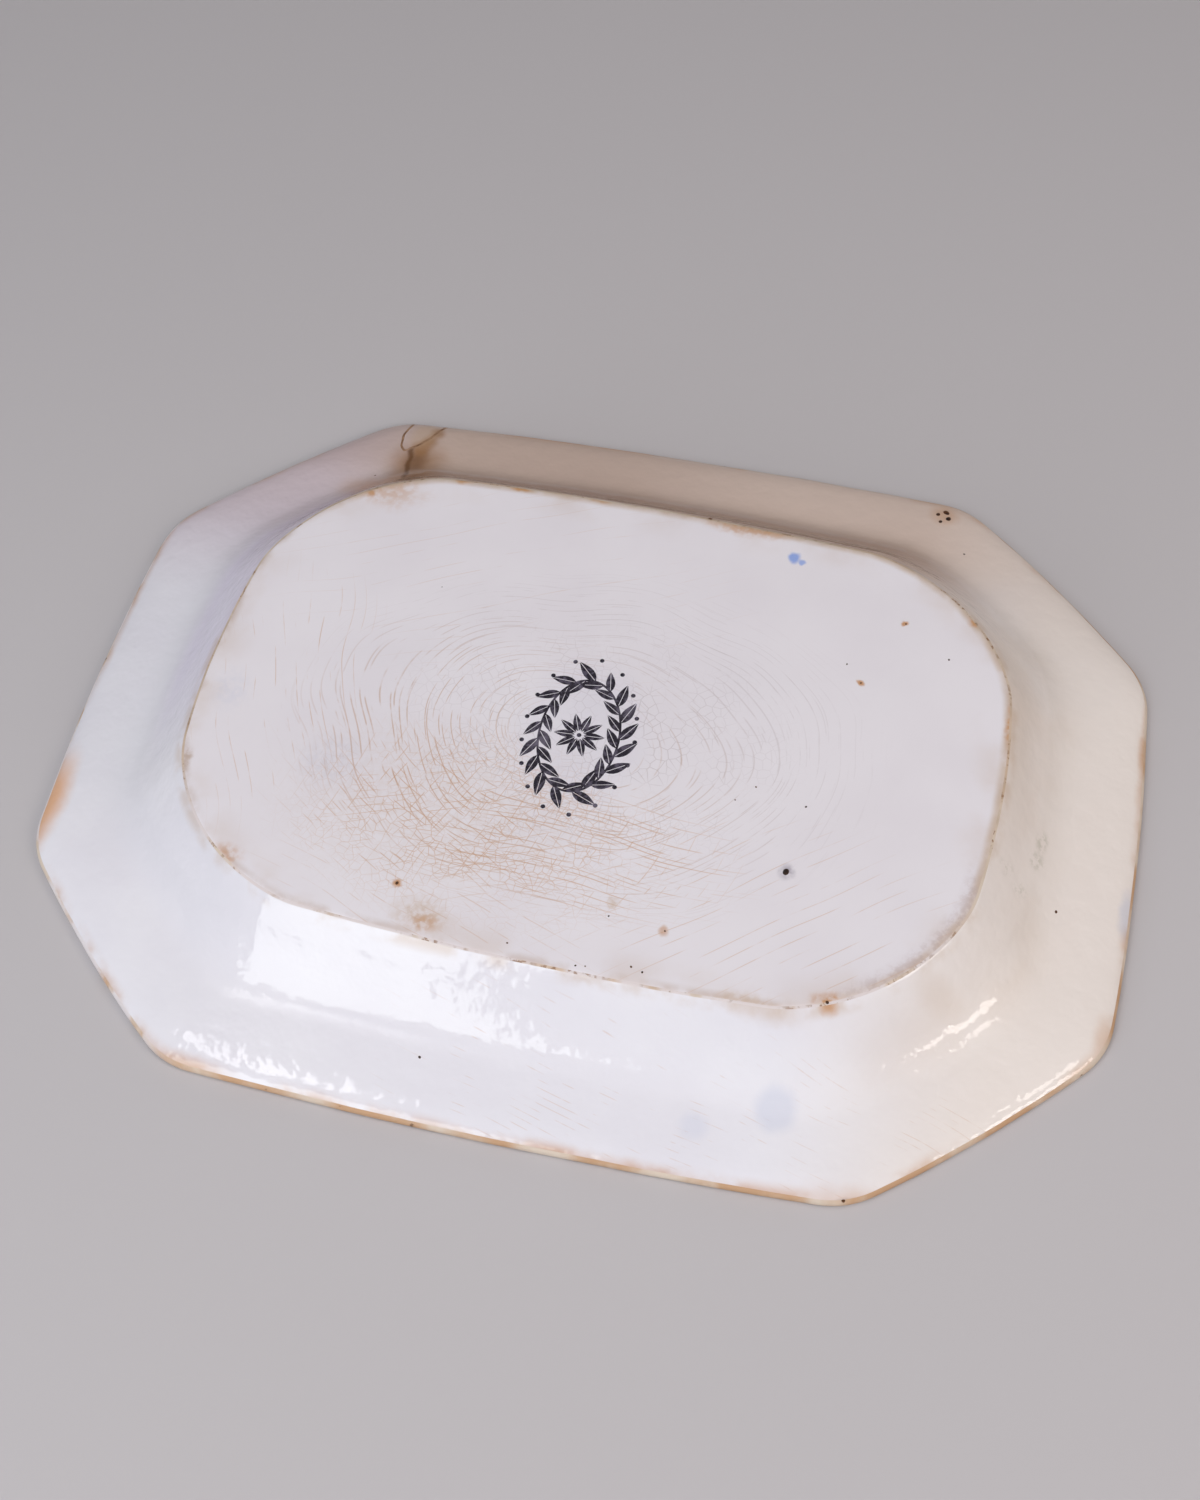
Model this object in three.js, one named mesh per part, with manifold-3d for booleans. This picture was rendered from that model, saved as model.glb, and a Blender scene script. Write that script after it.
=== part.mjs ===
// An octagonal serving platter of white-glazed earthenware, pressed in a mould.
// It lies face down on its rim, so +Z points out of the flat underside and the well opens down.
// Millimetres. The origin is the middle of the plane the rim rests on, and +X runs along the length.
import * as THREE from "three";
import { mergeVertices } from "three/addons/utils/BufferGeometryUtils.js";
import Module from "manifold-3d";

// Outline of the rim: length and width over everything, sides between the corner points.
const RIM_LENGTH = 345;
const RIM_WIDTH = 261.6;
const RIM_LONG_SIDE = 206;
const RIM_SHORT_SIDE = 132;
const RIM_LONG_BOW = 2.9; // each side swells out a little, as the clay shrank at the corners
const RIM_SHORT_BOW = 2.5;
const RIM_CUT_BOW = 2.2;
const RIM_CORNER_R = 28;

// Outline of the flat underside, which is a softer octagon.
const BASE_LENGTH = 252.4;
const BASE_WIDTH = 170.5;
const BASE_LONG_SIDE = 146.6;
const BASE_SHORT_SIDE = 74.3;
const BASE_LONG_BOW = 2.6;
const BASE_SHORT_BOW = 2.6;
const BASE_CUT_BOW = 9.2;
const BASE_CORNER_R = 40;
const BASE_TURN_DEG = -1.2; // the underside was pressed a little askew to the rim
const BASE_SHIFT_X = 1.1;
const BASE_SHIFT_Y = 0.3;

// Section from the underside out to the rim and back in over the eating face.
const HEIGHT = 29.6;
const FLOOR_THICKNESS = 6.2;
const FOOT_R = 3; // round between the flat underside and the wall
const WALL_SLOPE_DEG = 47;
const WALL_LEAD = 11; // how far the wall keeps its slope before it hollows
const COVE_RUN = 25; // from the foot line out to the low of the cove
const COVE_Z = 8;
const COVE_SLOPE_DEG = 7;
const COVE_LEAD = 11;
const ROLL_LEAD = 8; // how far the back of the rim keeps the cove's slope before it rolls over
const EDGE_ROLL = 3.8; // height of the last, tight part of that roll
const EDGE_R = 1.8; // round under the rim, on the face side
const RIM_THICKNESS = 5.1; // at the cove
const SHOULDER_INSET = 1; // the face's shoulder lies this far inside the cove
const FACE_LEAD = 10;
const FLOOR_LEAD = 14;
const FLOOR_INSET = 8; // the well's floor ends this far inside the foot line

// Coats of glaze, worn through along the foot line and the edge of the rim.
const GLAZE_THICKNESS = 0.3;
const RIM_BARE = 1; // bare clay on the face side of the edge

// A tongue of the rim that broke out at one corner and was glued back.
const CHIP_FROM_CORNER = 11.5; // along the long side to the middle of its mouth
const CHIP_INSET = 0.8; // from the rim's widest to that middle
const CHIP_WIDTH = 10.8;
const CHIP_DEPTH = 18;
const CHIP_LEAN_DEG = -16;
const CHIP_GAP = 0.9; // from the tongue to the break in the rim
const GLUE_CLEARANCE = 0.2; // on each side of the glue in that gap

// Points for each stretch of the outlines and of the section.
const MOST_TURN_DEG = 12; // between two points of an outline
const MOST_RUN = 36;
const FOOT_STEPS = 3;
const CURVE_STEPS = 6;
const EDGE_STEPS = 2;
const CHIP_STEPS = 16;

const CLAY = new THREE.MeshStandardMaterial({ color: "#d9c8ab", roughness: 0.85, metalness: 0 });
const GLAZE = new THREE.MeshStandardMaterial({ color: "#e2dee0", roughness: 0.15, metalness: 0 });
const GLUE = new THREE.MeshStandardMaterial({ color: "#6b4a2b", roughness: 0.6, metalness: 0 });

const FULL_TURN = Math.PI * 2;

const wasm = await Module();
wasm.setup();

function heading(direction) {
  return new THREE.Vector2(Math.cos(direction), Math.sin(direction));
}

// The circle that a side lies on, from its two corner points and its swell.
function sideCircle(from, to, bow) {
  const along = to.clone().sub(from);
  const chord = along.length();
  const outward = new THREE.Vector2(along.y, -along.x).normalize();
  const radius = (chord * chord / 4 + bow * bow) / (2 * bow);
  const centre = from.clone().add(to).multiplyScalar(0.5).addScaledVector(outward, bow - radius);
  return { centre, radius };
}

// Centre of the corner circle that touches two neighbouring side circles from inside.
function cornerCentre(before, after, radius, corner) {
  const across = after.centre.clone().sub(before.centre);
  const distance = across.length();
  const reachBefore = before.radius - radius;
  const reachAfter = after.radius - radius;
  const foot = (reachBefore ** 2 - reachAfter ** 2 + distance ** 2) / (2 * distance);
  const rise = Math.sqrt(reachBefore ** 2 - foot ** 2);
  across.normalize();
  const middle = before.centre.clone().addScaledVector(across, foot);
  const aside = new THREE.Vector2(-across.y, across.x);
  const choices = [rise, -rise].map((offset) => middle.clone().addScaledVector(aside, offset));
  return choices[0].distanceTo(corner) < choices[1].distanceTo(corner) ? choices[0] : choices[1];
}

// An octagon of bowed sides whose corners are tangent arcs: its arcs anticlockwise from above,
// each with the direction that its first point faces.
function softOctagon({ length, width, longSide, shortSide, longBow, shortBow, cutBow, cornerR }) {
  const endX = length / 2 - shortBow;
  const endY = shortSide / 2;
  const sideX = longSide / 2;
  const sideY = width / 2 - longBow;
  const quarter = [[endX, endY], [sideX, sideY]];
  const corners = [
    ...quarter,
    ...quarter.toReversed().map(([x, y]) => [-x, y]),
    ...quarter.map(([x, y]) => [-x, -y]),
    ...quarter.toReversed().map(([x, y]) => [x, -y]),
  ].map(([x, y]) => new THREE.Vector2(x, y));
  const bows = [cutBow, longBow, cutBow, shortBow];
  const sides = corners.map((corner, i) => {
    return sideCircle(corner, corners[(i + 1) % corners.length], bows[i % bows.length]);
  });
  return sides.flatMap((side, i) => {
    const before = sides.at(i - 1);
    const centre = cornerCentre(before, side, cornerR, corners[i]);
    const facing = (circle) => centre.clone().sub(circle.centre).angle();
    return [
      { centre, radius: cornerR, from: facing(before) },
      { centre: side.centre, radius: side.radius, from: facing(side) },
    ];
  });
}

function pointFacing(arcs, direction) {
  const arc = arcs.findLast((each) => each.from <= direction) ?? arcs.at(-1);
  return arc.centre.clone().addScaledVector(heading(direction), arc.radius);
}

const rimArcs = softOctagon({
  length: RIM_LENGTH,
  width: RIM_WIDTH,
  longSide: RIM_LONG_SIDE,
  shortSide: RIM_SHORT_SIDE,
  longBow: RIM_LONG_BOW,
  shortBow: RIM_SHORT_BOW,
  cutBow: RIM_CUT_BOW,
  cornerR: RIM_CORNER_R,
});
const baseArcs = softOctagon({
  length: BASE_LENGTH,
  width: BASE_WIDTH,
  longSide: BASE_LONG_SIDE,
  shortSide: BASE_SHORT_SIDE,
  longBow: BASE_LONG_BOW,
  shortBow: BASE_SHORT_BOW,
  cutBow: BASE_CUT_BOW,
  cornerR: BASE_CORNER_R,
});

// Both outlines are read in the same directions, so the wall between them turns its corners smoothly.
const mostTurn = THREE.MathUtils.degToRad(MOST_TURN_DEG);
const breaks = [...rimArcs, ...baseArcs].map((arc) => arc.from).sort((a, b) => a - b);
const directions = breaks.flatMap((from, i) => {
  const to = breaks[i + 1] ?? breaks[0] + FULL_TURN;
  const run = pointFacing(rimArcs, from).distanceTo(pointFacing(rimArcs, to % FULL_TURN));
  const steps = Math.ceil(Math.max((to - from) / mostTurn, run / MOST_RUN));
  return Array.from({ length: steps }, (_, k) => (from + (to - from) * k / steps) % FULL_TURN);
});
const rimOutline = directions.map((direction) => pointFacing(rimArcs, direction));
const baseMiddle = new THREE.Vector2(BASE_SHIFT_X, BASE_SHIFT_Y);
const baseTurn = THREE.MathUtils.degToRad(BASE_TURN_DEG);
const baseOutline = directions.map((direction) => {
  return pointFacing(baseArcs, direction).rotateAround(new THREE.Vector2(), baseTurn).add(baseMiddle);
});

// The section is drawn with x as the distance out from the foot line and y as the height.
const rimRun = (RIM_WIDTH - BASE_WIDTH) / 2;
const floorZ = HEIGHT - FLOOR_THICKNESS;
const wallSlope = THREE.MathUtils.degToRad(WALL_SLOPE_DEG);
const coveSlope = THREE.MathUtils.degToRad(COVE_SLOPE_DEG);
const down = (slope, length) => new THREE.Vector2(Math.cos(slope), -Math.sin(slope)).multiplyScalar(length);
const section = (x, y) => new THREE.Vector2(x, y);

const footCentre = section(-FOOT_R * Math.sin(wallSlope / 2), HEIGHT - FOOT_R);
const footPoints = Array.from({ length: FOOT_STEPS + 1 }, (_, i) => {
  const tilt = wallSlope * i / FOOT_STEPS;
  return footCentre.clone().add(section(FOOT_R * Math.sin(tilt), FOOT_R * Math.cos(tilt)));
});
const wallTop = footPoints.at(-1);
const coveLow = section(COVE_RUN, COVE_Z);
const wallPoints = new THREE.CubicBezierCurve(
  wallTop,
  wallTop.clone().add(down(wallSlope, WALL_LEAD)),
  coveLow.clone().sub(down(coveSlope, COVE_LEAD)),
  coveLow,
).getPoints(CURVE_STEPS);
const rollPoints = new THREE.CubicBezierCurve(
  coveLow,
  coveLow.clone().add(down(coveSlope, ROLL_LEAD)),
  section(rimRun, EDGE_R + EDGE_ROLL),
  section(rimRun, EDGE_R),
).getPoints(CURVE_STEPS);
const edgePoints = Array.from({ length: EDGE_STEPS }, (_, i) => {
  const turn = Math.PI / 2 * (i + 1) / EDGE_STEPS;
  return section(rimRun - EDGE_R + EDGE_R * Math.cos(turn), EDGE_R - EDGE_R * Math.sin(turn));
});
const shoulder = section(COVE_RUN - SHOULDER_INSET, COVE_Z - RIM_THICKNESS);
const rimFace = shoulder.clone().sub(edgePoints.at(-1));
const bareEnd = edgePoints.at(-1).clone().addScaledVector(rimFace, RIM_BARE / rimFace.length());
const facePoints = new THREE.CubicBezierCurve(
  shoulder,
  shoulder.clone().addScaledVector(rimFace, FACE_LEAD / rimFace.length()),
  section(FLOOR_LEAD - FLOOR_INSET, floorZ),
  section(-FLOOR_INSET, floorZ),
).getPoints(CURVE_STEPS);

// The finished surface in order, split where a coat of glaze starts or stops.
const footBare = footPoints.slice(1, -1);
const baseField = footPoints.slice(0, 2);
const backField = [...footPoints.slice(-2), ...wallPoints.slice(1), ...rollPoints.slice(1, -1)];
const rimBare = [rollPoints.at(-2), rollPoints.at(-1), ...edgePoints, bareEnd];
const faceField = [bareEnd, ...facePoints];
const finished = [...new Set([...baseField, ...footBare, ...backField, ...rimBare, ...faceField])];

// The clay under a coat: each point of the surface moved in by the glaze's thickness.
const underGlaze = new Map(finished.map((point, i) => {
  const before = finished[i - 1] ?? section(-BASE_WIDTH / 2, HEIGHT);
  const after = finished[i + 1] ?? section(-BASE_WIDTH / 2, floorZ);
  const inward = point.clone().sub(before).normalize().add(after.clone().sub(point).normalize());
  const moved = section(-inward.y, inward.x).normalize().multiplyScalar(-GLAZE_THICKNESS).add(point);
  return [point, moved];
}));
const clayOf = (points) => points.map((point) => underGlaze.get(point));

// A point of the section carried round the platter: between the two outlines, or inset from the foot line.
function ring(point) {
  return baseOutline.map((base, i) => {
    const place = point.x < 0
      ? base.clone().addScaledVector(heading(directions[i] + baseTurn), point.x)
      : base.clone().lerp(rimOutline[i], point.x / rimRun);
    return new THREE.Vector3(place.x, place.y, point.y);
  });
}

// Two solids that share a surface split its faces along the same diagonals, so the order decides them.
function comesFirst(a, b) {
  return a.x < b.x || (a.x === b.x && a.y < b.y);
}

// A closed surface over rings in order, either round in a loop or between a top and a bottom middle point.
function loft(points, topZ, bottomZ) {
  const capped = topZ !== undefined;
  const count = baseOutline.length;
  const vertices = points.flatMap(ring);
  const index = [];
  const last = capped ? points.length - 1 : points.length;
  for (let i = 0; i < last; i++) {
    const inner = i * count;
    const outer = (i + 1) % points.length * count;
    const fromInner = comesFirst(points[i], points[(i + 1) % points.length]);
    for (let j = 0; j < count; j++) {
      const k = (j + 1) % count;
      index.push(inner + j, outer + j, fromInner ? outer + k : inner + k);
      index.push(fromInner ? inner + j : outer + j, outer + k, inner + k);
    }
  }
  if (capped) {
    const top = vertices.push(new THREE.Vector3(baseMiddle.x, baseMiddle.y, topZ)) - 1;
    const bottom = vertices.push(new THREE.Vector3(baseMiddle.x, baseMiddle.y, bottomZ)) - 1;
    const lastRing = (points.length - 1) * count;
    for (let j = 0; j < count; j++) {
      const k = (j + 1) % count;
      index.push(top, j, k);
      index.push(bottom, lastRing + k, lastRing + j);
    }
  }
  return new THREE.BufferGeometry().setFromPoints(vertices).setIndex(index);
}

// An upright prism over the broken tongue, grown by a margin on all sides.
function chipPrism(margin) {
  const tongue = new THREE.Shape().absellipse(
    0, 0, CHIP_WIDTH / 2 + margin, CHIP_DEPTH + margin, 0, FULL_TURN,
  );
  const prism = new THREE.ExtrudeGeometry(tongue, {
    depth: HEIGHT, bevelEnabled: false, curveSegments: CHIP_STEPS,
  });
  prism.translate(0, 0, -HEIGHT / 2);
  prism.rotateZ(THREE.MathUtils.degToRad(CHIP_LEAN_DEG));
  prism.translate(CHIP_FROM_CORNER - RIM_LONG_SIDE / 2, RIM_WIDTH / 2 - CHIP_INSET, 0);
  prism.deleteAttribute("normal");
  prism.deleteAttribute("uv");
  return solid(mergeVertices(prism));
}

function solid(geometry) {
  return new wasm.Manifold(new wasm.Mesh({
    numProp: 3,
    vertProperties: new Float32Array(geometry.attributes.position.array),
    triVerts: new Uint32Array(geometry.index.array),
  }));
}

const platter = new THREE.Group();

function addPiece(name, manifold, material) {
  const { vertProperties, triVerts } = manifold.getMesh();
  const geometry = new THREE.BufferGeometry()
    .setAttribute("position", new THREE.BufferAttribute(vertProperties, 3))
    .setIndex(new THREE.BufferAttribute(triVerts, 1));
  geometry.computeVertexNormals();
  const piece = new THREE.Mesh(geometry, material);
  piece.name = name;
  platter.add(piece);
}

const clay = solid(loft(
  [...clayOf(baseField), ...footBare, ...clayOf(backField), ...rimBare, ...clayOf(faceField)],
  HEIGHT - GLAZE_THICKNESS,
  floorZ + GLAZE_THICKNESS,
));
const baseCoat = solid(loft(
  [...baseField, ...clayOf(baseField).reverse()],
  HEIGHT,
  HEIGHT - GLAZE_THICKNESS,
));
const backCoat = solid(loft([...backField, ...clayOf(backField).reverse()]));
const faceCoat = solid(loft(
  [...clayOf(faceField).reverse(), ...faceField],
  floorZ + GLAZE_THICKNESS,
  floorZ,
));
const whole = solid(loft(finished, HEIGHT, floorZ));

const breakOut = chipPrism(CHIP_GAP);
const glueLine = chipPrism(CHIP_GAP - GLUE_CLEARANCE).subtract(chipPrism(GLUE_CLEARANCE));

addPiece("clay_body", clay.subtract(breakOut), CLAY);
addPiece("base_glaze", baseCoat, GLAZE);
addPiece("back_glaze", backCoat.subtract(breakOut), GLAZE);
addPiece("face_glaze", faceCoat.subtract(breakOut), GLAZE);
addPiece("rim_chip", whole.intersect(chipPrism(0)), GLAZE);
addPiece("chip_glue", whole.intersect(glueLine), GLUE);

export default platter;
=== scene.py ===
import math
from functools import partial

import bmesh
import bpy
from mathutils import Matrix, Vector


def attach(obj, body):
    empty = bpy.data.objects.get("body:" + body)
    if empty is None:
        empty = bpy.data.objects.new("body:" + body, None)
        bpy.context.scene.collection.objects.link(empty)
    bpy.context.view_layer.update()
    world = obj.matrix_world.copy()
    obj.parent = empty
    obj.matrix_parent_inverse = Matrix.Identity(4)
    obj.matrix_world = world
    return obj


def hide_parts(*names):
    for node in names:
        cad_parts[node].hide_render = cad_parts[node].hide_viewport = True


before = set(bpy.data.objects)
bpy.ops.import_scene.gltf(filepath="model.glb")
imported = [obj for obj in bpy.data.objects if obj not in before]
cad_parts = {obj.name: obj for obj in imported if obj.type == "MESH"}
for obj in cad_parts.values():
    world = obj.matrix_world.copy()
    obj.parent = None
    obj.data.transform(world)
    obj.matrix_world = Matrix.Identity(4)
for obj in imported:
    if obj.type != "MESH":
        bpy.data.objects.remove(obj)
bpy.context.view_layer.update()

mm = 0.001
scene = bpy.context.scene


def linear(hexColour):
    values = [int(hexColour[i:i + 2], 16) / 255 for i in (1, 3, 5)]
    curve = [v / 12.92 if v <= 0.04045 else ((v + 0.055) / 1.055) ** 2.4 for v in values]
    return (*curve, 1.0)


def addNode(tree, kind, inputs=(), output=0, **settings):
    node = tree.nodes.new(kind)
    for name, value in settings.items():
        setattr(node, name, value)
    inputs = inputs if isinstance(inputs, dict) else dict(enumerate(inputs))
    for key, value in inputs.items():
        if isinstance(value, bpy.types.NodeSocket):
            tree.links.new(value, node.inputs[key])
        else:
            node.inputs[key].default_value = value
    return node.outputs[output] if node.outputs else node


def addObject(name, data):
    thing = bpy.data.objects.new(name, data)
    scene.collection.objects.link(thing)
    return thing


def wayTo(azimuth, elevation):  # degrees right of straight in front, degrees up
    turn, rise = math.radians(azimuth), math.radians(elevation)
    return Vector((math.sin(turn) * math.cos(rise), -math.cos(turn) * math.cos(rise), math.sin(rise)))


# camera: where the photograph was taken from, found from both outlines of the platter

cameraView = {
    "azimuth": 16.91,  # degrees, from straight in front towards the right
    "elevation": 58.1,
    "roll": -4.3,
    "target": (-0.45, 7.23),  # mm, on the plane the rim rests on
    "distance": 629.9,  # mm
    "focalPixels": 1931.4,  # in the 1200 x 1500 picture
    "pictureHeight": 1500,
    "sensor": 36,  # mm
    "clipStart": 10,  # mm
}


def placeCamera(view):
    azimuth, roll = math.radians(view["azimuth"]), math.radians(view["roll"])
    back = wayTo(view["azimuth"], view["elevation"])
    level = Vector((math.cos(azimuth), math.sin(azimuth), 0))
    upright = back.cross(level)
    right = level * math.cos(roll) + upright * math.sin(roll)
    up = upright * math.cos(roll) - level * math.sin(roll)
    eye = (Vector((*view["target"], 0)) + back * view["distance"]) * mm
    data = bpy.data.cameras.new("photoCamera")
    data.sensor_width = view["sensor"]
    data.lens = view["focalPixels"] / view["pictureHeight"] * view["sensor"]
    data.clip_start = view["clipStart"] * mm
    camera = addObject("photoCamera", data)
    camera.matrix_world = Matrix.Translation(eye) @ Matrix((right, up, back)).transposed().to_4x4()
    scene.camera = camera


placeCamera(cameraView)
print("camera placed")


# the platter's own form: two soft octagons and the section between them, all in mm

rimSizes = {
    "length": 345, "width": 261.6, "longSide": 206, "shortSide": 132,
    "longBow": 2.9, "shortBow": 2.5, "cutBow": 2.2, "cornerRadius": 28,
}
baseSizes = {
    "length": 252.4, "width": 170.5, "longSide": 146.6, "shortSide": 74.3,
    "longBow": 2.6, "shortBow": 2.6, "cutBow": 9.2, "cornerRadius": 40,
}
baseSeat = {"turn": -1.2, "shift": (1.1, 0.3)}  # pressed a little askew to the rim
section = {
    "height": 29.6, "floorThickness": 6.2, "footRadius": 3,
    "wallSlope": 47, "wallLead": 11,
    "coveRun": 25, "coveHeight": 8, "coveSlope": 7, "coveLead": 11,
    "rollLead": 8, "edgeRoll": 3.8, "edgeRadius": 1.8,
    "rimThickness": 5.1, "shoulderInset": 1, "faceLead": 10, "floorLead": 14, "floorInset": 8,
    "glaze": 0.3, "rimBare": 1,
}
fineness = {
    "mostTurn": 1.6, "mostRun": 4.0,  # degrees and mm between points round the platter
    "foot": 6, "curve": 24, "edge": 8, "flange": 4, "flatRings": 30,  # steps along the section
}


def sideCircle(start, end, bow):
    along = end - start
    outward = Vector((along.y, -along.x)).normalized()
    radius = (along.length_squared / 4 + bow ** 2) / (2 * bow)
    return (start + end) / 2 + outward * (bow - radius), radius


def cornerCentre(before, after, radius, corner):
    across = after[0] - before[0]
    apart = across.length
    reachBefore, reachAfter = before[1] - radius, after[1] - radius
    foot = (reachBefore ** 2 - reachAfter ** 2 + apart ** 2) / (2 * apart)
    rise = math.sqrt(reachBefore ** 2 - foot ** 2)
    across.normalize()
    aside = Vector((-across.y, across.x))
    choices = [before[0] + across * foot + aside * side for side in (rise, -rise)]
    return min(choices, key=lambda point: (point - corner).length)


def softOctagon(sizes):  # arcs anticlockwise: centre, radius, direction that the first point faces
    endX, endY = sizes["length"] / 2 - sizes["shortBow"], sizes["shortSide"] / 2
    sideX, sideY = sizes["longSide"] / 2, sizes["width"] / 2 - sizes["longBow"]
    quarter = [(endX, endY), (sideX, sideY)]
    corners = quarter + [(-x, y) for x, y in quarter[::-1]] + [(-x, -y) for x, y in quarter]
    corners = [Vector(c) for c in corners + [(x, -y) for x, y in quarter[::-1]]]
    bows = [sizes["cutBow"], sizes["longBow"], sizes["cutBow"], sizes["shortBow"]] * 2
    sides = [sideCircle(c, corners[(i + 1) % 8], bows[i]) for i, c in enumerate(corners)]
    arcs = []
    for i, side in enumerate(sides):
        before = sides[i - 1]
        centre = cornerCentre(before, side, sizes["cornerRadius"], corners[i])
        for circle, owner in ((before, (centre, sizes["cornerRadius"])), (side, side)):
            towards = centre - circle[0]
            arcs.append((*owner, math.atan2(towards.y, towards.x) % math.tau))
    return arcs


def pointFacing(arcs, direction):
    owners = [arc for arc in arcs if arc[2] <= direction]
    centre, radius, _ = owners[-1] if owners else arcs[-1]
    return centre + Vector((math.cos(direction), math.sin(direction))) * radius


def outlineDirections(rimArcs, baseArcs):
    breaks = sorted(arc[2] for arc in rimArcs + baseArcs)
    directions = []
    for start, end in zip(breaks, breaks[1:] + [breaks[0] + math.tau]):
        run = (pointFacing(rimArcs, start) - pointFacing(rimArcs, end % math.tau)).length
        turns = (end - start) / math.radians(fineness["mostTurn"])
        steps = math.ceil(max(turns, run / fineness["mostRun"]))
        directions += [(start + (end - start) * k / steps) % math.tau for k in range(steps)]
    return directions


rimArcs, baseArcs = softOctagon(rimSizes), softOctagon(baseSizes)
directions = outlineDirections(rimArcs, baseArcs)
rimRing = [pointFacing(rimArcs, d) for d in directions]
baseTurn = Matrix.Rotation(math.radians(baseSeat["turn"]), 2)
baseMiddle = Vector(baseSeat["shift"])
baseRing = [baseTurn @ pointFacing(baseArcs, d) + baseMiddle for d in directions]
baseFacing = [baseTurn @ Vector((math.cos(d), math.sin(d))) for d in directions]
rimRun = (rimSizes["width"] - baseSizes["width"]) / 2
floorHeight = section["height"] - section["floorThickness"]


def bezier(p0, p1, p2, p3, steps):
    shares = [(i / steps, 1 - i / steps) for i in range(steps + 1)]
    return [p0 * u ** 3 + p1 * 3 * t * u ** 2 + p2 * 3 * t * t * u + p3 * t ** 3 for t, u in shares]


def sectionZones(s):  # points of the finished surface: distance out from the foot line, height
    wallSlope, coveSlope, curve = math.radians(s["wallSlope"]), math.radians(s["coveSlope"]), fineness["curve"]
    footCentre = Vector((-s["footRadius"] * math.sin(wallSlope / 2), s["height"] - s["footRadius"]))
    tilts = [wallSlope * i / fineness["foot"] for i in range(fineness["foot"] + 1)]
    foot = [footCentre + Vector((math.sin(t), math.cos(t))) * s["footRadius"] for t in tilts]
    wallWay = Vector((math.cos(wallSlope), -math.sin(wallSlope)))
    coveWay = Vector((math.cos(coveSlope), -math.sin(coveSlope)))
    cove = Vector((s["coveRun"], s["coveHeight"]))
    wall = bezier(foot[-1], foot[-1] + wallWay * s["wallLead"], cove - coveWay * s["coveLead"], cove, curve)
    edgeTop = Vector((rimRun, s["edgeRadius"]))
    roll = bezier(cove, cove + coveWay * s["rollLead"], edgeTop + Vector((0, s["edgeRoll"])), edgeTop, curve)
    edge = []
    for i in range(1, fineness["edge"] + 1):
        turn = math.pi / 2 * i / fineness["edge"]
        edge.append(edgeTop - Vector((1 - math.cos(turn), math.sin(turn))) * s["edgeRadius"])
    shoulder = Vector((s["coveRun"] - s["shoulderInset"], s["coveHeight"] - s["rimThickness"]))
    faceWay = (shoulder - edge[-1]).normalized()
    bareEnd = edge[-1] + faceWay * s["rimBare"]
    floorEdge = Vector((-s["floorInset"], floorHeight))
    flange = [bareEnd.lerp(shoulder, i / fineness["flange"]) for i in range(1, fineness["flange"])]
    floorLead = floorEdge + Vector((s["floorLead"], 0))
    inner = bezier(shoulder, shoulder + faceWay * s["faceLead"], floorLead, floorEdge, curve)
    third = fineness["foot"] // 3  # the middle third of the foot is worn bare
    worn = curve * 5 // 6  # and so is the last sixth of the roll
    return {
        "base": foot[:third + 1],
        "footBare": foot[third:2 * third + 1],
        "back": foot[2 * third:] + wall[1:] + roll[1:worn + 1],
        "rimBare": roll[worn:] + edge + [bareEnd],
        "face": [bareEnd] + flange + inner,
    }


def underGlaze(zones, thickness):  # the clay below each point of the glaze
    path = []
    for points in zones.values():
        path += points if not path else points[1:]
    moved = {}
    for i, point in enumerate(path):
        before = path[i - 1] if i else point - Vector((1, 0))
        after = path[i + 1] if i + 1 < len(path) else point - Vector((1, 0))
        way = (point - before).normalized() + (after - point).normalized()
        moved[tuple(point)] = point + Vector((way.y, -way.x)).normalized() * thickness
    return {name: [moved[tuple(p)] for p in points] for name, points in zones.items()}


zones = sectionZones(section)
clayZones = underGlaze(zones, section["glaze"])
flatSteps = [i / fineness["flatRings"] for i in range(fineness["flatRings"])]
glazeTop, clayTop = section["height"], section["height"] - section["glaze"]
glazeFloor, clayFloor = floorHeight, floorHeight + section["glaze"]


def atEdge(points):  # distance out, share of the way from the middle, height
    return [(p.x, 1.0, p.y) for p in points]


def flat(reach, height):
    return [(reach, k, height) for k in flatSteps]


baseReach, floorReach = zones["base"][0].x, zones["face"][-1].x
sections = {
    "baseGlaze": flat(baseReach, glazeTop) + atEdge(zones["base"] + clayZones["base"][::-1])
    + flat(baseReach, clayTop)[::-1],
    "backGlaze": atEdge(zones["back"] + clayZones["back"][::-1] + zones["back"][:1]),
    "faceGlaze": flat(floorReach, clayFloor) + atEdge(clayZones["face"][::-1] + zones["face"])
    + flat(floorReach, glazeFloor)[::-1],
    "clayBody": flat(baseReach, clayTop)
    + atEdge(clayZones["base"] + zones["footBare"] + clayZones["back"] + zones["rimBare"] + clayZones["face"])
    + flat(floorReach, clayFloor)[::-1],
    "whole": [(baseReach, 0, glazeTop)]
    + atEdge(zones["base"] + [p for name in ("footBare", "back", "rimBare", "face") for p in zones[name][1:]])
    + [(floorReach, 0, glazeFloor)],
}
print("section drawn:", len(directions), "points round,", sum(len(v) for v in zones.values()), "along")


# materials

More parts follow.
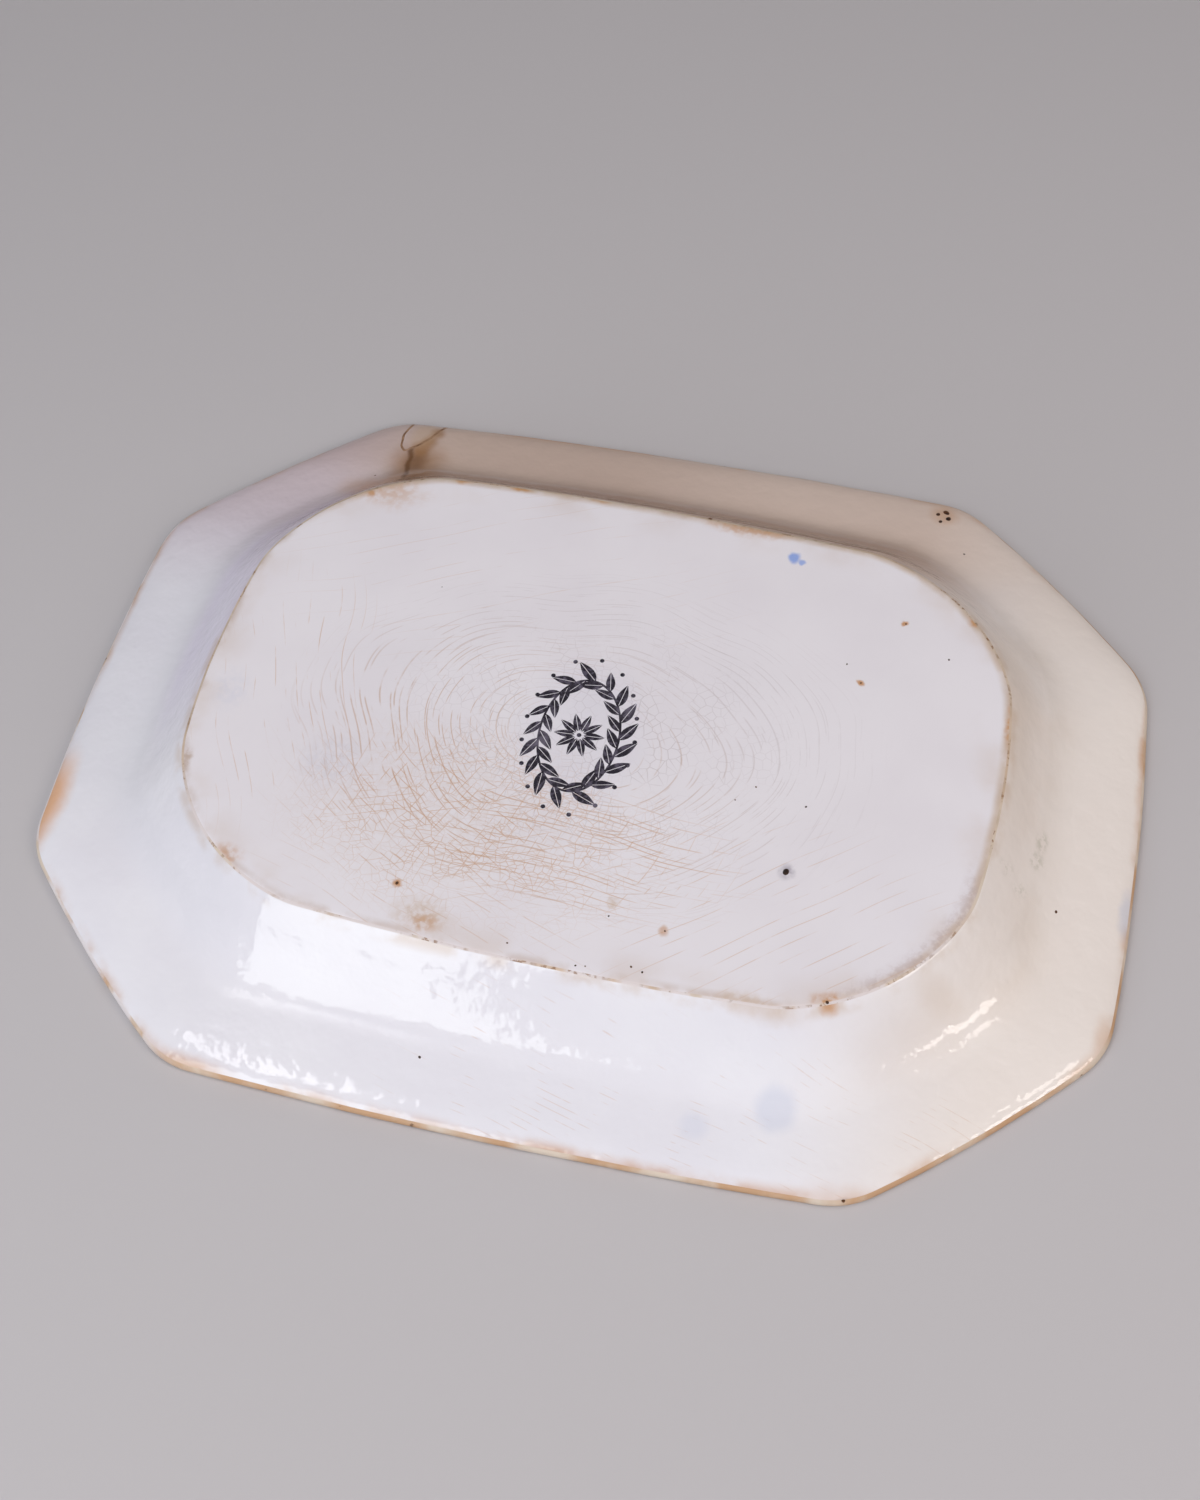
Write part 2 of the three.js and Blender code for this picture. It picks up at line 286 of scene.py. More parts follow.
glazeLook = {
    "white": "#e6e1e6", "cloud": "#dfd9df", "rimWhite": "#e6e4ea", "rimCloud": "#dddae2",
    "cream": "#e9ddd3", "farRimShade": "#d2bbae", "farShade": "#a18272", "shadeMauve": "#cfc0ca", "shadeLavender": "#d6cce4",
    "footShadeTan": "#c7b19c", "tea": "#c2a588", "greyBrown": "#b79f8f", "pinkGrey": "#b5a19d",
    "crazeBrown": "#c79d7c", "crazeGrey": "#b9adb0", "rust": "#c08a55", "orange": "#dc9c5c",
    "oldBrown": "#6f4a2c", "crackBrown": "#9a6f47", "hairline": "#664224",
    "cobalt": "#a9b4d2", "greenGrey": "#a9a693", "violet": "#8d8494", "halo": "#c9c9dc", "dab": "#8ea6e0",
    "cloudWidth": 45, "printMiddle": (-2.7, -6.4),
}


def startMaterial(name, roughness, ior=1.5, plan=(1, 1, 1)):
    material = bpy.data.materials.new(name)
    material.use_nodes = True
    shader = material.node_tree.nodes["Principled BSDF"]
    shader.inputs["Roughness"].default_value = roughness
    shader.inputs["IOR"].default_value = ior
    add = partial(addNode, material.node_tree)
    own = add("ShaderNodeTexCoord", output="Object")
    place = add("ShaderNodeVectorMath", (own, tuple(v / mm for v in plan)), operation="MULTIPLY")  # in mm
    return material, add, place, partial(allOf, add), partial(patches, add, place)


def endMaterial(material, add, colour, height=None, depth=0.02, roughness=None):  # depth in mm
    links, shader = material.node_tree.links, material.node_tree.nodes["Principled BSDF"]
    links.new(colour, shader.inputs["Base Color"])
    if roughness:
        links.new(roughness, shader.inputs["Roughness"])
    if height:
        bump = add("ShaderNodeBump", {"Height": height, "Distance": depth * mm, "Strength": 0.5})
        links.new(bump, shader.inputs["Normal"])
    return material


def layColours(add, look, colour, *layers):  # each layer is a mask, the colour laid there and its strength
    if isinstance(colour, str):
        colour = linear(look[colour])
    for mask, name, strength in layers:
        share = add("ShaderNodeMath", (mask, strength), operation="MULTIPLY")
        colour = add("ShaderNodeMix", {0: share, 6: colour, 7: linear(look[name])}, 2, data_type="RGBA")
    return colour


def allOf(add, *masks):  # where every mask is; a tuple is a value and the two ends of its soft step, up or down
    product = None
    for mask in masks:
        if isinstance(mask, tuple):
            mask = add("ShaderNodeMapRange", mask, interpolation_type="SMOOTHSTEP")
        product = add("ShaderNodeMath", (product, mask), operation="MULTIPLY") if product else mask
    return product


def patches(add, place, width, low, high, seed, toLow=0.0, toHigh=1.0):  # soft-edged, about that wide in mm
    cloudy = {"Vector": place, "W": seed, "Scale": 1 / width, "Detail": 4.0}
    cloud = add("ShaderNodeTexNoise", cloudy, noise_dimensions="4D")
    return allOf(add, (cloud, low, high, toLow, toHigh))


def ragged(add, place, width, amount, seed):  # pushes places about, so that what is drawn there has a rough edge
    bumpy = {"Vector": place, "W": seed, "Scale": 1 / width, "Detail": 3.0}
    push = add("ShaderNodeTexNoise", bumpy, 1, noise_dimensions="4D")
    push = add("ShaderNodeVectorMath", (push, (0.5, 0.5, 0.5)), operation="SUBTRACT")
    return add("ShaderNodeVectorMath", (push, (amount,) * 3, place), operation="MULTIPLY_ADD")


def stain(add, place, middle, reach, soft, stretch=(1, 1)):  # as seen from above, in mm
    away = add("ShaderNodeVectorMath", (place, (*middle, 0)), operation="SUBTRACT")
    away = add("ShaderNodeVectorMath", (away, (*stretch, 0)), operation="MULTIPLY")
    away = add("ShaderNodeVectorMath", (away,), 1, operation="LENGTH")
    return allOf(add, (away, reach, max(reach - soft, 0)))


crackLine = {"swayWidth": 38, "halfWidth": 0.2, "core": 0.07, "runShift": 1.7}  # mm, and a shift from line to line


# lines where the measure grows by the spacing, each seen for a run and then lost, in mm
def crackRuns(add, place, measure, spacing, bend, run, seed):
    slow = {"Vector": place, "W": seed, "Scale": 1 / crackLine["swayWidth"], "Detail": 0.0}
    sway = add("ShaderNodeTexNoise", slow, noise_dimensions="4D")
    count = add("ShaderNodeMath", (sway, bend, measure), operation="MULTIPLY_ADD")
    count = add("ShaderNodeMath", (count, 1 / spacing), operation="MULTIPLY")
    aside = add("ShaderNodeMath", (count, 0.5), operation="PINGPONG")
    line = add("ShaderNodeMath", (count,), operation="ROUND")
    shift = add("ShaderNodeMath", (line, crackLine["runShift"]), operation="MULTIPLY")
    shift = add("ShaderNodeCombineXYZ", {"Z": shift})
    perLine = add("ShaderNodeVectorMath", (place, (1 / run,) * 3, shift), operation="MULTIPLY_ADD")
    lines = (aside, crackLine["halfWidth"] / spacing, crackLine["core"] / spacing)
    return allOf(add, lines, patches(add, perLine, 1.0, 0.48, 0.6, seed + 0.5))


def crackNet(add, place, cell, width, seed, space="3D"):  # cells and line width in mm
    bent = ragged(add, place, cell * 3, cell * 0.6, seed)
    net = add(
        "ShaderNodeTexVoronoi", {"Vector": bent, "Scale": 1 / cell}, "Distance",
        feature="DISTANCE_TO_EDGE", voronoi_dimensions=space,
    )
    half = width / 2 / cell
    return allOf(add, (net, half * 1.5, half * 0.5))


# white lead glaze, dipped and then worn on shelves: a cool, half-dull white with a net of fine cracks browned by tea
# cracks are about 0.1 mm wide on the real thing and drawn 0.3 mm wide here to show
baseCracks = [
    # way they run in degrees, spacing, bend and run in mm, the region's middle, reach, soft edge and stretch, strength
    (-34, 2.3, 13, 8, (-38, -42), 46, 34, (0.72, 1.15), 0.8),
    (72, 2.8, 13, 8, (-36, -40), 44, 34, (0.72, 1.15), 0.7),
    (20, 2.6, 13, 10, (-30, -44), 44, 34, (0.72, 1.2), 0.65),
    (-2, 1.4, 8, 20, (2, -46), 50, 28, (0.75, 1.8), 0.75),
    (70, 3.4, 13, 6, (8, -46), 46, 30, (0.75, 1.8), 0.5),
    (110, 3.7, 15, 14, (-98, -8), 38, 26, (1.1, 0.6), 0.55),
    (38, 4.2, 8, 16, (60, -56), 64, 44, (0.75, 1.4), 0.45),
    (-18, 4.0, 10, 10, (-30, -66), 60, 44, (0.8, 1.6), 0.4),
    (24, 4.6, 10, 20, (-40, 48), 80, 60, (0.8, 1.4), 0.25),
]
baseStains = [  # middle in mm, reach, soft edge, colour, strength, stretch
    ((-40, -42), 50, 42, "tea", 0.14, (0.75, 1.1)),
    ((-34, -77), 9, 8, "tea", 0.55, (0.7, 1.1)),
    ((-32, -79), 5, 4, "rust", 0.5, (0.7, 1.2)),
    ((-90, 75.5), 12, 10, "rust", 0.45, (0.6, 1.2)),
    ((-94, 73), 2.2, 1.6, "rust", 0.7, (1, 1)),
    ((-77, -31), 14, 13, "cobalt", 0.15, (0.9, 1)),
    ((-115, -12), 9, 8, "cobalt", 0.16, (1, 0.8)),
    ((68.4, -40.4), 3.4, 3, "violet", 0.75, (1, 1)),
    ((-43.5, -68), 1.9, 1.4, "rust", 0.9, (1, 1)),
    ((20.5, -61), 2.6, 1.6, "tea", 0.5, (1, 1)),
    ((37.6, -66.8), 2.2, 1.6, "rust", 0.6, (1, 1)),
    ((-120.5, -41), 4.5, 3, "greyBrown", 0.8, (1.4, 0.6)),
    ((-97, -69.5), 6, 5, "rust", 0.6, (0.8, 1.1)),
    ((88, -79), 5, 4, "rust", 0.85, (0.7, 1.1)),
    ((66, -84.5), 8, 6, "tea", 0.5, (0.5, 1.8)),
    ((34, 84.5), 8, 5, "rust", 0.6, (0.4, 1.4)),
    ((-65, 84.6), 2.4, 2, "rust", 0.8, (0.5, 1.3)),
    ((-45, 85), 2.4, 2, "rust", 0.85, (0.45, 1.3)),
    ((-18, 85.6), 2.2, 2, "rust", 0.6, (0.4, 1.3)),
    ((127, 27), 9, 7, "rust", 0.8, (3.2, 0.5)),
    ((111.5, 61), 3.5, 2.5, "rust", 0.8, (1, 1)),
    ((89.6, 55.6), 1.4, 0.9, "rust", 0.9, (1, 1)),
    ((79.2, 30.4), 1.4, 0.9, "rust", 0.9, (1, 1)),
    ((50.2, 74.6), 2.5, 1.6, "dab", 0.95, (1, 0.8)),
    ((53, 73.4), 1.6, 1.0, "dab", 0.85, (1, 1)),
]


def makeBaseGlaze():
    look = glazeLook
    material, add, place, both, patch = startMaterial("whiteLeadGlazeWorn", 0.3, 1.6, (1, 1, 0))
    roughPlace, widePlace = ragged(add, place, 4, 3.2, 2), ragged(add, place, 16, 12, 13)
    x, y, _ = add("ShaderNodeSeparateXYZ", (place,)).node.outputs
    fromFoot = add("ShaderNodeAttribute", output="Fac", attribute_name="fromFoot")

    edgeLine = both((fromFoot, -3.4, -0.4), patch(11, 0.4, 0.62, 3))
    edgeHaze = both((fromFoot, -14, -1), patch(24, 0.45, 0.66, 4))
    farRight = add("ShaderNodeMath", (both((x, 70, 112)), both((y, 50, 78))), operation="MAXIMUM")
    # painted shade: a tan fade just inside the foot line on the far and right sides
    fade = both((fromFoot, -3.2, -0.6), farRight, patch(5, 0.3, 0.6, 16, 0.5, 1))
    band = both((fromFoot, -6.5, -1.5), stain(add, place, (112, -54), 40, 22), patch(1.8, 0.4, 0.62, 17, 0.35, 1))
    colour = layColours(
        add, look, "white", (patch(look["cloudWidth"], 0.35, 0.7, 1), "cloud", 0.6),
        (edgeLine, "greyBrown", 0.5), (edgeHaze, "tea", 0.25), (fade, "footShadeTan", 0.75), (band, "pinkGrey", 0.52),
    )

    # cracks run round the print in ovals, and more of them cross where tea soaked in
    away = add("ShaderNodeVectorMath", (place, (*look["printMiddle"], 0)), operation="SUBTRACT")
    away = add("ShaderNodeVectorMath", (away, (0.7, 1, 0)), operation="MULTIPLY")
    out = add("ShaderNodeVectorMath", (away,), 1, operation="LENGTH")
    around = both((out, 10, 22), (out, 72, 44))
    brownSide = stain(add, place, (-38, -36), 92, 80, (0.8, 1.1))
    cracks = None
    for spacing, bend, seed in ((1.8, 14, 5), (2.6, 15, 6)):
        ovals = both(crackRuns(add, place, out, spacing, bend, 12, seed), around)
        brownOvals = both(ovals, brownSide)
        colour = layColours(add, look, colour, (ovals, "crazeGrey", 0.3), (brownOvals, "crazeBrown", 0.65))
        cracks = add("ShaderNodeMath", (cracks, ovals), operation="MAXIMUM") if cracks else ovals
    crazed = stain(add, place, (0, -8), 58, 42, (0.75, 1))
    greyNet = both(crackNet(add, place, 3.2, 0.24, 7, "2D"), patch(13, 0.36, 0.6, 8), crazed)
    soaked = stain(add, roughPlace, (-24, -44), 54, 40, (0.72, 1.3))
    brownNet = both(crackNet(add, place, 2.9, 0.22, 9, "2D"), soaked, patch(12, 0.36, 0.58, 10))
    colour = layColours(add, look, colour, (greyNet, "crazeGrey", 0.5), (brownNet, "crazeBrown", 0.6))
    for seed, (way, spacing, bend, run, middle, reach, soft, stretch, strength) in enumerate(baseCracks, 50):
        across = (-math.sin(math.radians(way)), math.cos(math.radians(way)), 0)
        measure = add("ShaderNodeVectorMath", (place, across), 1, operation="DOT_PRODUCT")
        region = stain(add, roughPlace, middle, reach, soft, stretch)
        lines = both(crackRuns(add, place, measure, spacing, bend, run, seed), region)
        colour = layColours(add, look, colour, (lines, "crazeBrown", strength))
        cracks = add("ShaderNodeMath", (cracks, lines), operation="MAXIMUM")

    speckled = patch(2.2, 0.36, 0.62, 15, 0.3, 1)
    for middle, reach, soft, shade, strength, stretch in baseStains:
        mask = stain(add, widePlace if reach > 11 else roughPlace, middle, reach, soft, stretch)
        mask = both(mask, speckled) if reach > 2.5 else mask
        colour = layColours(add, look, colour, (mask, shade, strength))
    bled = stain(add, widePlace, look["printMiddle"], 30, 16, (1.15, 0.9))
    colour = layColours(add, look, colour, (bled, "halo", 0.2))  # ink that bled into the glaze
    dull = patch(26, 0.3, 0.7, 14, 0.29, 0.4)
    groove = add("ShaderNodeMath", (cracks, -1), operation="MULTIPLY")
    return endMaterial(material, add, colour, groove, 0.02, dull)


# the same glaze where nothing wore it: wet-looking white with orange-brown tea at the rim, creamy to the right from
# painted warm light, and with painted shade on the far side, the far wall, the left and in the cove
backStains = [  # middle in mm, reach, soft edge, colour, strength, stretch
    ((-90, 104.5), 15, 13, "crackBrown", 0.75, (1, 0.9)),
    ((-91, 106.5), 6.5, 5.5, "oldBrown", 0.6, (1, 0.7)),
    ((-91, 113), 5, 4, "crackBrown", 0.75, (1, 0.8)),
    ((-89.3, 117.5), 4.2, 3.6, "crackBrown", 0.8, (1, 0.8)),
    ((-87.6, 122.5), 4.2, 3.6, "crackBrown", 0.75, (1, 0.8)),
    ((-92, 121), 7, 5, "tea", 0.4, (1, 0.7)),
    ((-98, 89), 14, 12, "rust", 0.6, (0.7, 1.2)),
    ((-169, -50), 17, 15, "orange", 0.75, (2, 0.7)),
    ((-101, -128.5), 16, 13, "rust", 0.5, (0.6, 2.6)),
    ((40, -131.5), 66, 52, "rust", 0.4, (0.8, 13)),
    ((108, -129), 20, 17, "rust", 0.5, (0.7, 2.2)),
    ((104, -128.5), 5, 4, "oldBrown", 0.9, (0.8, 1.2)),
    ((168, -62), 8, 7, "rust", 0.35, (1.6, 0.8)),
    ((172, 46), 34, 28, "rust", 0.6, (9, 0.7)),
    ((-172, 30), 40, 34, "rust", 0.3, (10, 0.7)),
    ((95.5, 121.5), 7, 6, "rust", 0.45, (1, 1)),
    ((87.8, -79.8), 3.4, 2.8, "rust", 0.75, (0.9, 1)),
    ((70, -84), 8, 6, "tea", 0.35, (0.5, 1.6)),
    ((78.2, -105.8), 8.0, 4.6, "cobalt", 0.27, (1, 0.95)),
    ((56, -115), 5.5, 4, "cobalt", 0.18, (0.9, 1)),
    ((170.5, -20), 7, 5, "cobalt", 0.35, (2, 0.6)),
    ((142, -5), 3.6, 2.8, "greenGrey", 0.42, (1.3, 0.7)),
    ((141, -12), 3.4, 2.6, "greenGrey", 0.42, (1, 0.8)),
    ((132, -22), 3.4, 3, "greenGrey", 0.36, (1, 1)),
    ((137, -25), 3.2, 3, "greenGrey", 0.36, (1, 1)),
    ((118, -66), 9, 8, "tea", 0.2, (0.8, 1.2)),
]
# from the broken tongue to the foot, mm
hairline = {"start": (-94.2, 113.0), "end": (-90.5, 88.5), "width": 1.6, "core": 0.2, "wander": 3, "ends": 1}


def makeBackGlaze():
    look = glazeLook
    material, add, place, both, patch = startMaterial("whiteLeadGlazeGlossy", 0.1, 1.62)
    x, y, z = add("ShaderNodeSeparateXYZ", (place,)).node.outputs
    # painted warm light: the right and far side are tinted cream where warm light from the right falls
    warmLitSide = add("ShaderNodeMath", (both((x, 70, 140)), both((y, 60, 104))), operation="MAXIMUM")
    # painted shade: the far rim darker and warmer, as it faces away from the light
    farShadedRim = both((y, 60, 108), (x, 140, 84, 0.35, 1))
    # painted shade on the far wall, which faces away from the light
    farWall = both((z, 7.4, 12), (y, 58, 84), (x, 122, 74))
    # painted shade, cool mauve, on the far-left rim
    farLeftShade = both((y, 30, 80), (x, -76, -126))
    # painted shade, cool lavender, on the left wall
    leftWallShade = both((z, 8.5, 14), (x, -92, -122), (y, -44, 10))
    # painted shade: the far rim darker towards the left, where less light reaches
    farMiddle = both((y, 92, 112), (x, 50, -30))
    # tea in the cove on the right and far side, with painted shade there too
    coveTeaAndShade = both((z, 6, 12), (z, 26, 16), patch(30, 0.4, 0.62, 22), warmLitSide)
    # painted shade: warm tan at the foot of the right wall
    wallFootShade = both((z, 14, 28), warmLitSide, (y, -40, 40))
    footDirt = both((z, 25.5, 28.6), patch(12, 0.42, 0.62, 23))
    rimTea = both((z, 5.2, 3.4), patch(19, 0.46, 0.64, 24))
    alongRim = add("ShaderNodeVectorMath", (place, (0.24, 0.97, 0)), 1, operation="DOT_PRODUCT")
    scratches = crackRuns(add, place, alongRim, 2.2, 6, 8, 25)
    scratches = both(scratches, (y, -84, -98), (x, -50, -10), patch(12, 0.48, 0.62, 26))
    colour = layColours(
        add, look, "rimWhite", (patch(look["cloudWidth"], 0.35, 0.7, 21), "rimCloud", 0.6),
        (warmLitSide, "cream", 0.75), (farShadedRim, "farRimShade", 0.8), (farWall, "farShade", 0.9),
        (farLeftShade, "shadeMauve", 0.75), (leftWallShade, "shadeLavender", 0.55), (farMiddle, "farShade", 0.3),
        (coveTeaAndShade, "tea", 0.15), (wallFootShade, "footShadeTan", 0.5), (footDirt, "tea", 0.4),
        (rimTea, "rust", 0.5), (scratches, "crazeBrown", 0.3),
    )

    roughPlace, widePlace = ragged(add, place, 4, 2.4, 27), ragged(add, place, 15, 10, 28)
    specky = patch(1.7, 0.42, 0.6, 35)
    for middle, reach, soft, shade, strength, stretch in backStains:
        mask = stain(add, widePlace if reach / max(stretch) > 9 else roughPlace, middle, reach, soft, stretch)
        mask = both(mask, specky) if shade == "greenGrey" else mask
        colour = layColours(add, look, colour, (mask, shade, strength))

    (startX, startY), (endX, endY), ends = hairline["start"], hairline["end"], hairline["ends"]
    lean = (endX - startX) / (endY - startY)
    offset = startX - lean * startY - hairline["wander"] / 2
    wander = add("ShaderNodeTexNoise", {"Vector": place, "Scale": 1 / 5, "Detail": 3.0})
    lineX = add("ShaderNodeMath", (y, lean, offset), operation="MULTIPLY_ADD")
    lineX = add("ShaderNodeMath", (wander, hairline["wander"], lineX), operation="MULTIPLY_ADD")
    aside = add("ShaderNodeMath", (x, lineX), operation="SUBTRACT")
    aside = add("ShaderNodeMath", (aside,), operation="ABSOLUTE")
    along = (y, endY - ends, endY + ends), (y, startY + ends, startY - ends)
    crack = both((aside, hairline["width"], hairline["core"]), *along)
    colour = layColours(add, look, colour, (crack, "hairline", 0.75))

    film = both((z, 6.2, 7.6), (z, 9.6, 8.2))
    gloss = patch(22, 0.3, 0.7, 29, 0.04, 0.09)
    gloss = add("ShaderNodeMath", (film, 0.16, gloss), operation="MULTIPLY_ADD")  # dust dulls the cove
    ripple = add("ShaderNodeTexNoise", {"Vector": place, "Scale": 1 / 6, "Detail": 2.0})
    height = add("ShaderNodeMath", (crack, -0.05, ripple), operation="MULTIPLY_ADD")
    return endMaterial(material, add, colour, height, 0.72, gloss)


# the eating face: the same wet-looking white, a faint net of cracks and tea at the rim
def makeFaceGlaze():
    look = glazeLook
    material, add, place, both, patch = startMaterial("whiteLeadGlazeFace", 0.12, 1.62)
    z = add("ShaderNodeSeparateXYZ", (place,), 2)
    rimTea = both((z, 1.1, 0.2), patch(19, 0.42, 0.6, 24))
    net = both(crackNet(add, place, 6, 0.32, 32), patch(34, 0.42, 0.64, 33))
    colour = layColours(
        add, look, "rimWhite", (patch(look["cloudWidth"], 0.35, 0.7, 31), "rimCloud", 0.6),
        (rimTea, "rust", 0.45), (net, "crazeBrown", 0.55),
    )
    gloss = patch(20, 0.3, 0.7, 34, 0.08, 0.22)
    groove = add("ShaderNodeMath", (net, -1), operation="MULTIPLY")
    return endMaterial(material, add, colour, groove, 0.02, gloss)


# pressed earthenware bared by wear: chalky cream, with tea and rust soaked in along the edges
clayLook = {
    "chalk": "#d2c3b4", "tea": "#b98c62", "footGrey": "#b09a86", "cleanAndLitNear": "#d8d0d2", "speck": "#86603f",
    "leftWhite": "#dcd8dc", "restBrown": "#7a5434", "dirt": "#4b3323",
}


def makeClay():
    material, add, place, both, patch = startMaterial("bareEarthenware", 0.7, 1.45)
    x, y, z = add("ShaderNodeSeparateXYZ", (place,)).node.outputs
    foot = both((z, 24, 27))
    colour = layColours(
        add, clayLook, "chalk",
        (both(patch(21, 0.4, 0.6, 41), (z, 27, 24, 0.45, 1)), "tea", 0.8),
        (both(foot, patch(9, 0.4, 0.65, 42)), "footGrey", 0.6),
        # paler clay at the foot on the near side: less stain there, and painted light where the window's highlight
        # reaches the foot
        (both(foot, (y, -34, -60), patch(8, 0.66, 0.5, 45)), "cleanAndLitNear", 0.85),
        (both(foot, patch(1.5, 0.52, 0.62, 46), patch(16, 0.44, 0.6, 47)), "speck", 0.85),
        (both((z, 24, 20), (x, -96, -118), patch(12, 0.62, 0.48, 48)), "leftWhite", 0.85),
        (both((z, 1.6, 0.5), patch(7, 0.45, 0.6, 43)), "restBrown", 0.7),
        (both(patch(4, 0.66, 0.74, 44), (z, 24, 20, 0.2, 1)), "dirt", 0.8),
    )
    grit = add("ShaderNodeTexNoise", {"Vector": place, "Scale": 1 / 0.8, "Detail": 4.0})
    return endMaterial(material, add, colour, grit, 0.06)


# old animal glue: dull brown, dry, with dirt in it
glueLook = {"dry": "#a98568", "dirt": "#6d4d36"}


def makeGlue():
    material, add, *_, patch = startMaterial("oldHideGlue", 0.55, 1.52)
    lumps = patch(2.2, 0.35, 0.65, 51)
    return endMaterial(material, add, layColours(add, glueLook, "dry", (lumps, "dirt", 0.8)), lumps, 0.08)


# transfer ink under glaze: violet-black, thin in places so that the white shows through, glossy as the glaze over it
inkLook = {"dense": "#2c2831", "thin": "#5d5766", "faded": "#7d7686"}


def makeInk():
    material, add, *_, patch = startMaterial("violetTransferInk", 0.24, 1.6)
    thin, faded = patch(1.5, 0.48, 0.62, 61), patch(8, 0.5, 0.66, 62)
    return endMaterial(material, add, layColours(add, inkLook, "dense", (thin, "thin", 0.8), (faded, "faded", 0.55)))


# iron specks burnt through the glaze: almost black, rusty at the edge
ironLook = {"burnt": "#2a201e", "rust": "#6e4426"}


def makeIron():
    material, add, *_, patch = startMaterial("burntIron", 0.4)
    rust = patch(1.1, 0.4, 0.65, 71)
    return endMaterial(material, add, layColours(add, ironLook, "burnt", (rust, "rust", 0.7)))


finishes = {
    "base_glaze": makeBaseGlaze(), "back_glaze": makeBackGlaze(), "face_glaze": makeFaceGlaze(),
    "clay": makeClay(), "glue": makeGlue(), "ink": makeInk(), "iron": makeIron(),
}
print("materials made:", ", ".join(m.name for m in finishes.values()))


# geometry nodes: a coat drawn round the platter from its section

waves = {  # hand pressing and run of the glaze
    "Wave Height": 0.3 * mm, "Wave Width": 34 * mm, "Grain Height": 0.02 * mm, "Grain Width": 6 * mm,
    "Steady To": 8 * mm,  # waves up and down grow from none where the rim rests to all at this height
    "Merge Within": 0.004 * mm,
}
socketKinds = {
    int: "Int", float: "Float", tuple: "Vector", bpy.types.Object: "Object", bpy.types.Material: "Material",
}


def newTree(name, values):  # an input named for each value
    tree = bpy.data.node_groups.new(name, "GeometryNodeTree")
    for label, value in values.items():
        kind = "NodeSocket" + socketKinds[type(value)]
        tree.interface.new_socket(name=label, in_out="INPUT", socket_type=kind)
    tree.interface.new_socket(name="Geometry", in_out="OUTPUT", socket_type="NodeSocketGeometry")
    return partial(addNode, tree), tree.nodes.new("NodeGroupInput").outputs


def endTree(add, geometry, material):
    real = add("GeometryNodeRealizeInstances", (geometry,))
    add("NodeGroupOutput", (add("GeometryNodeSetMaterial", {"Geometry": real, "Material": material}),))
    return add.args[0]


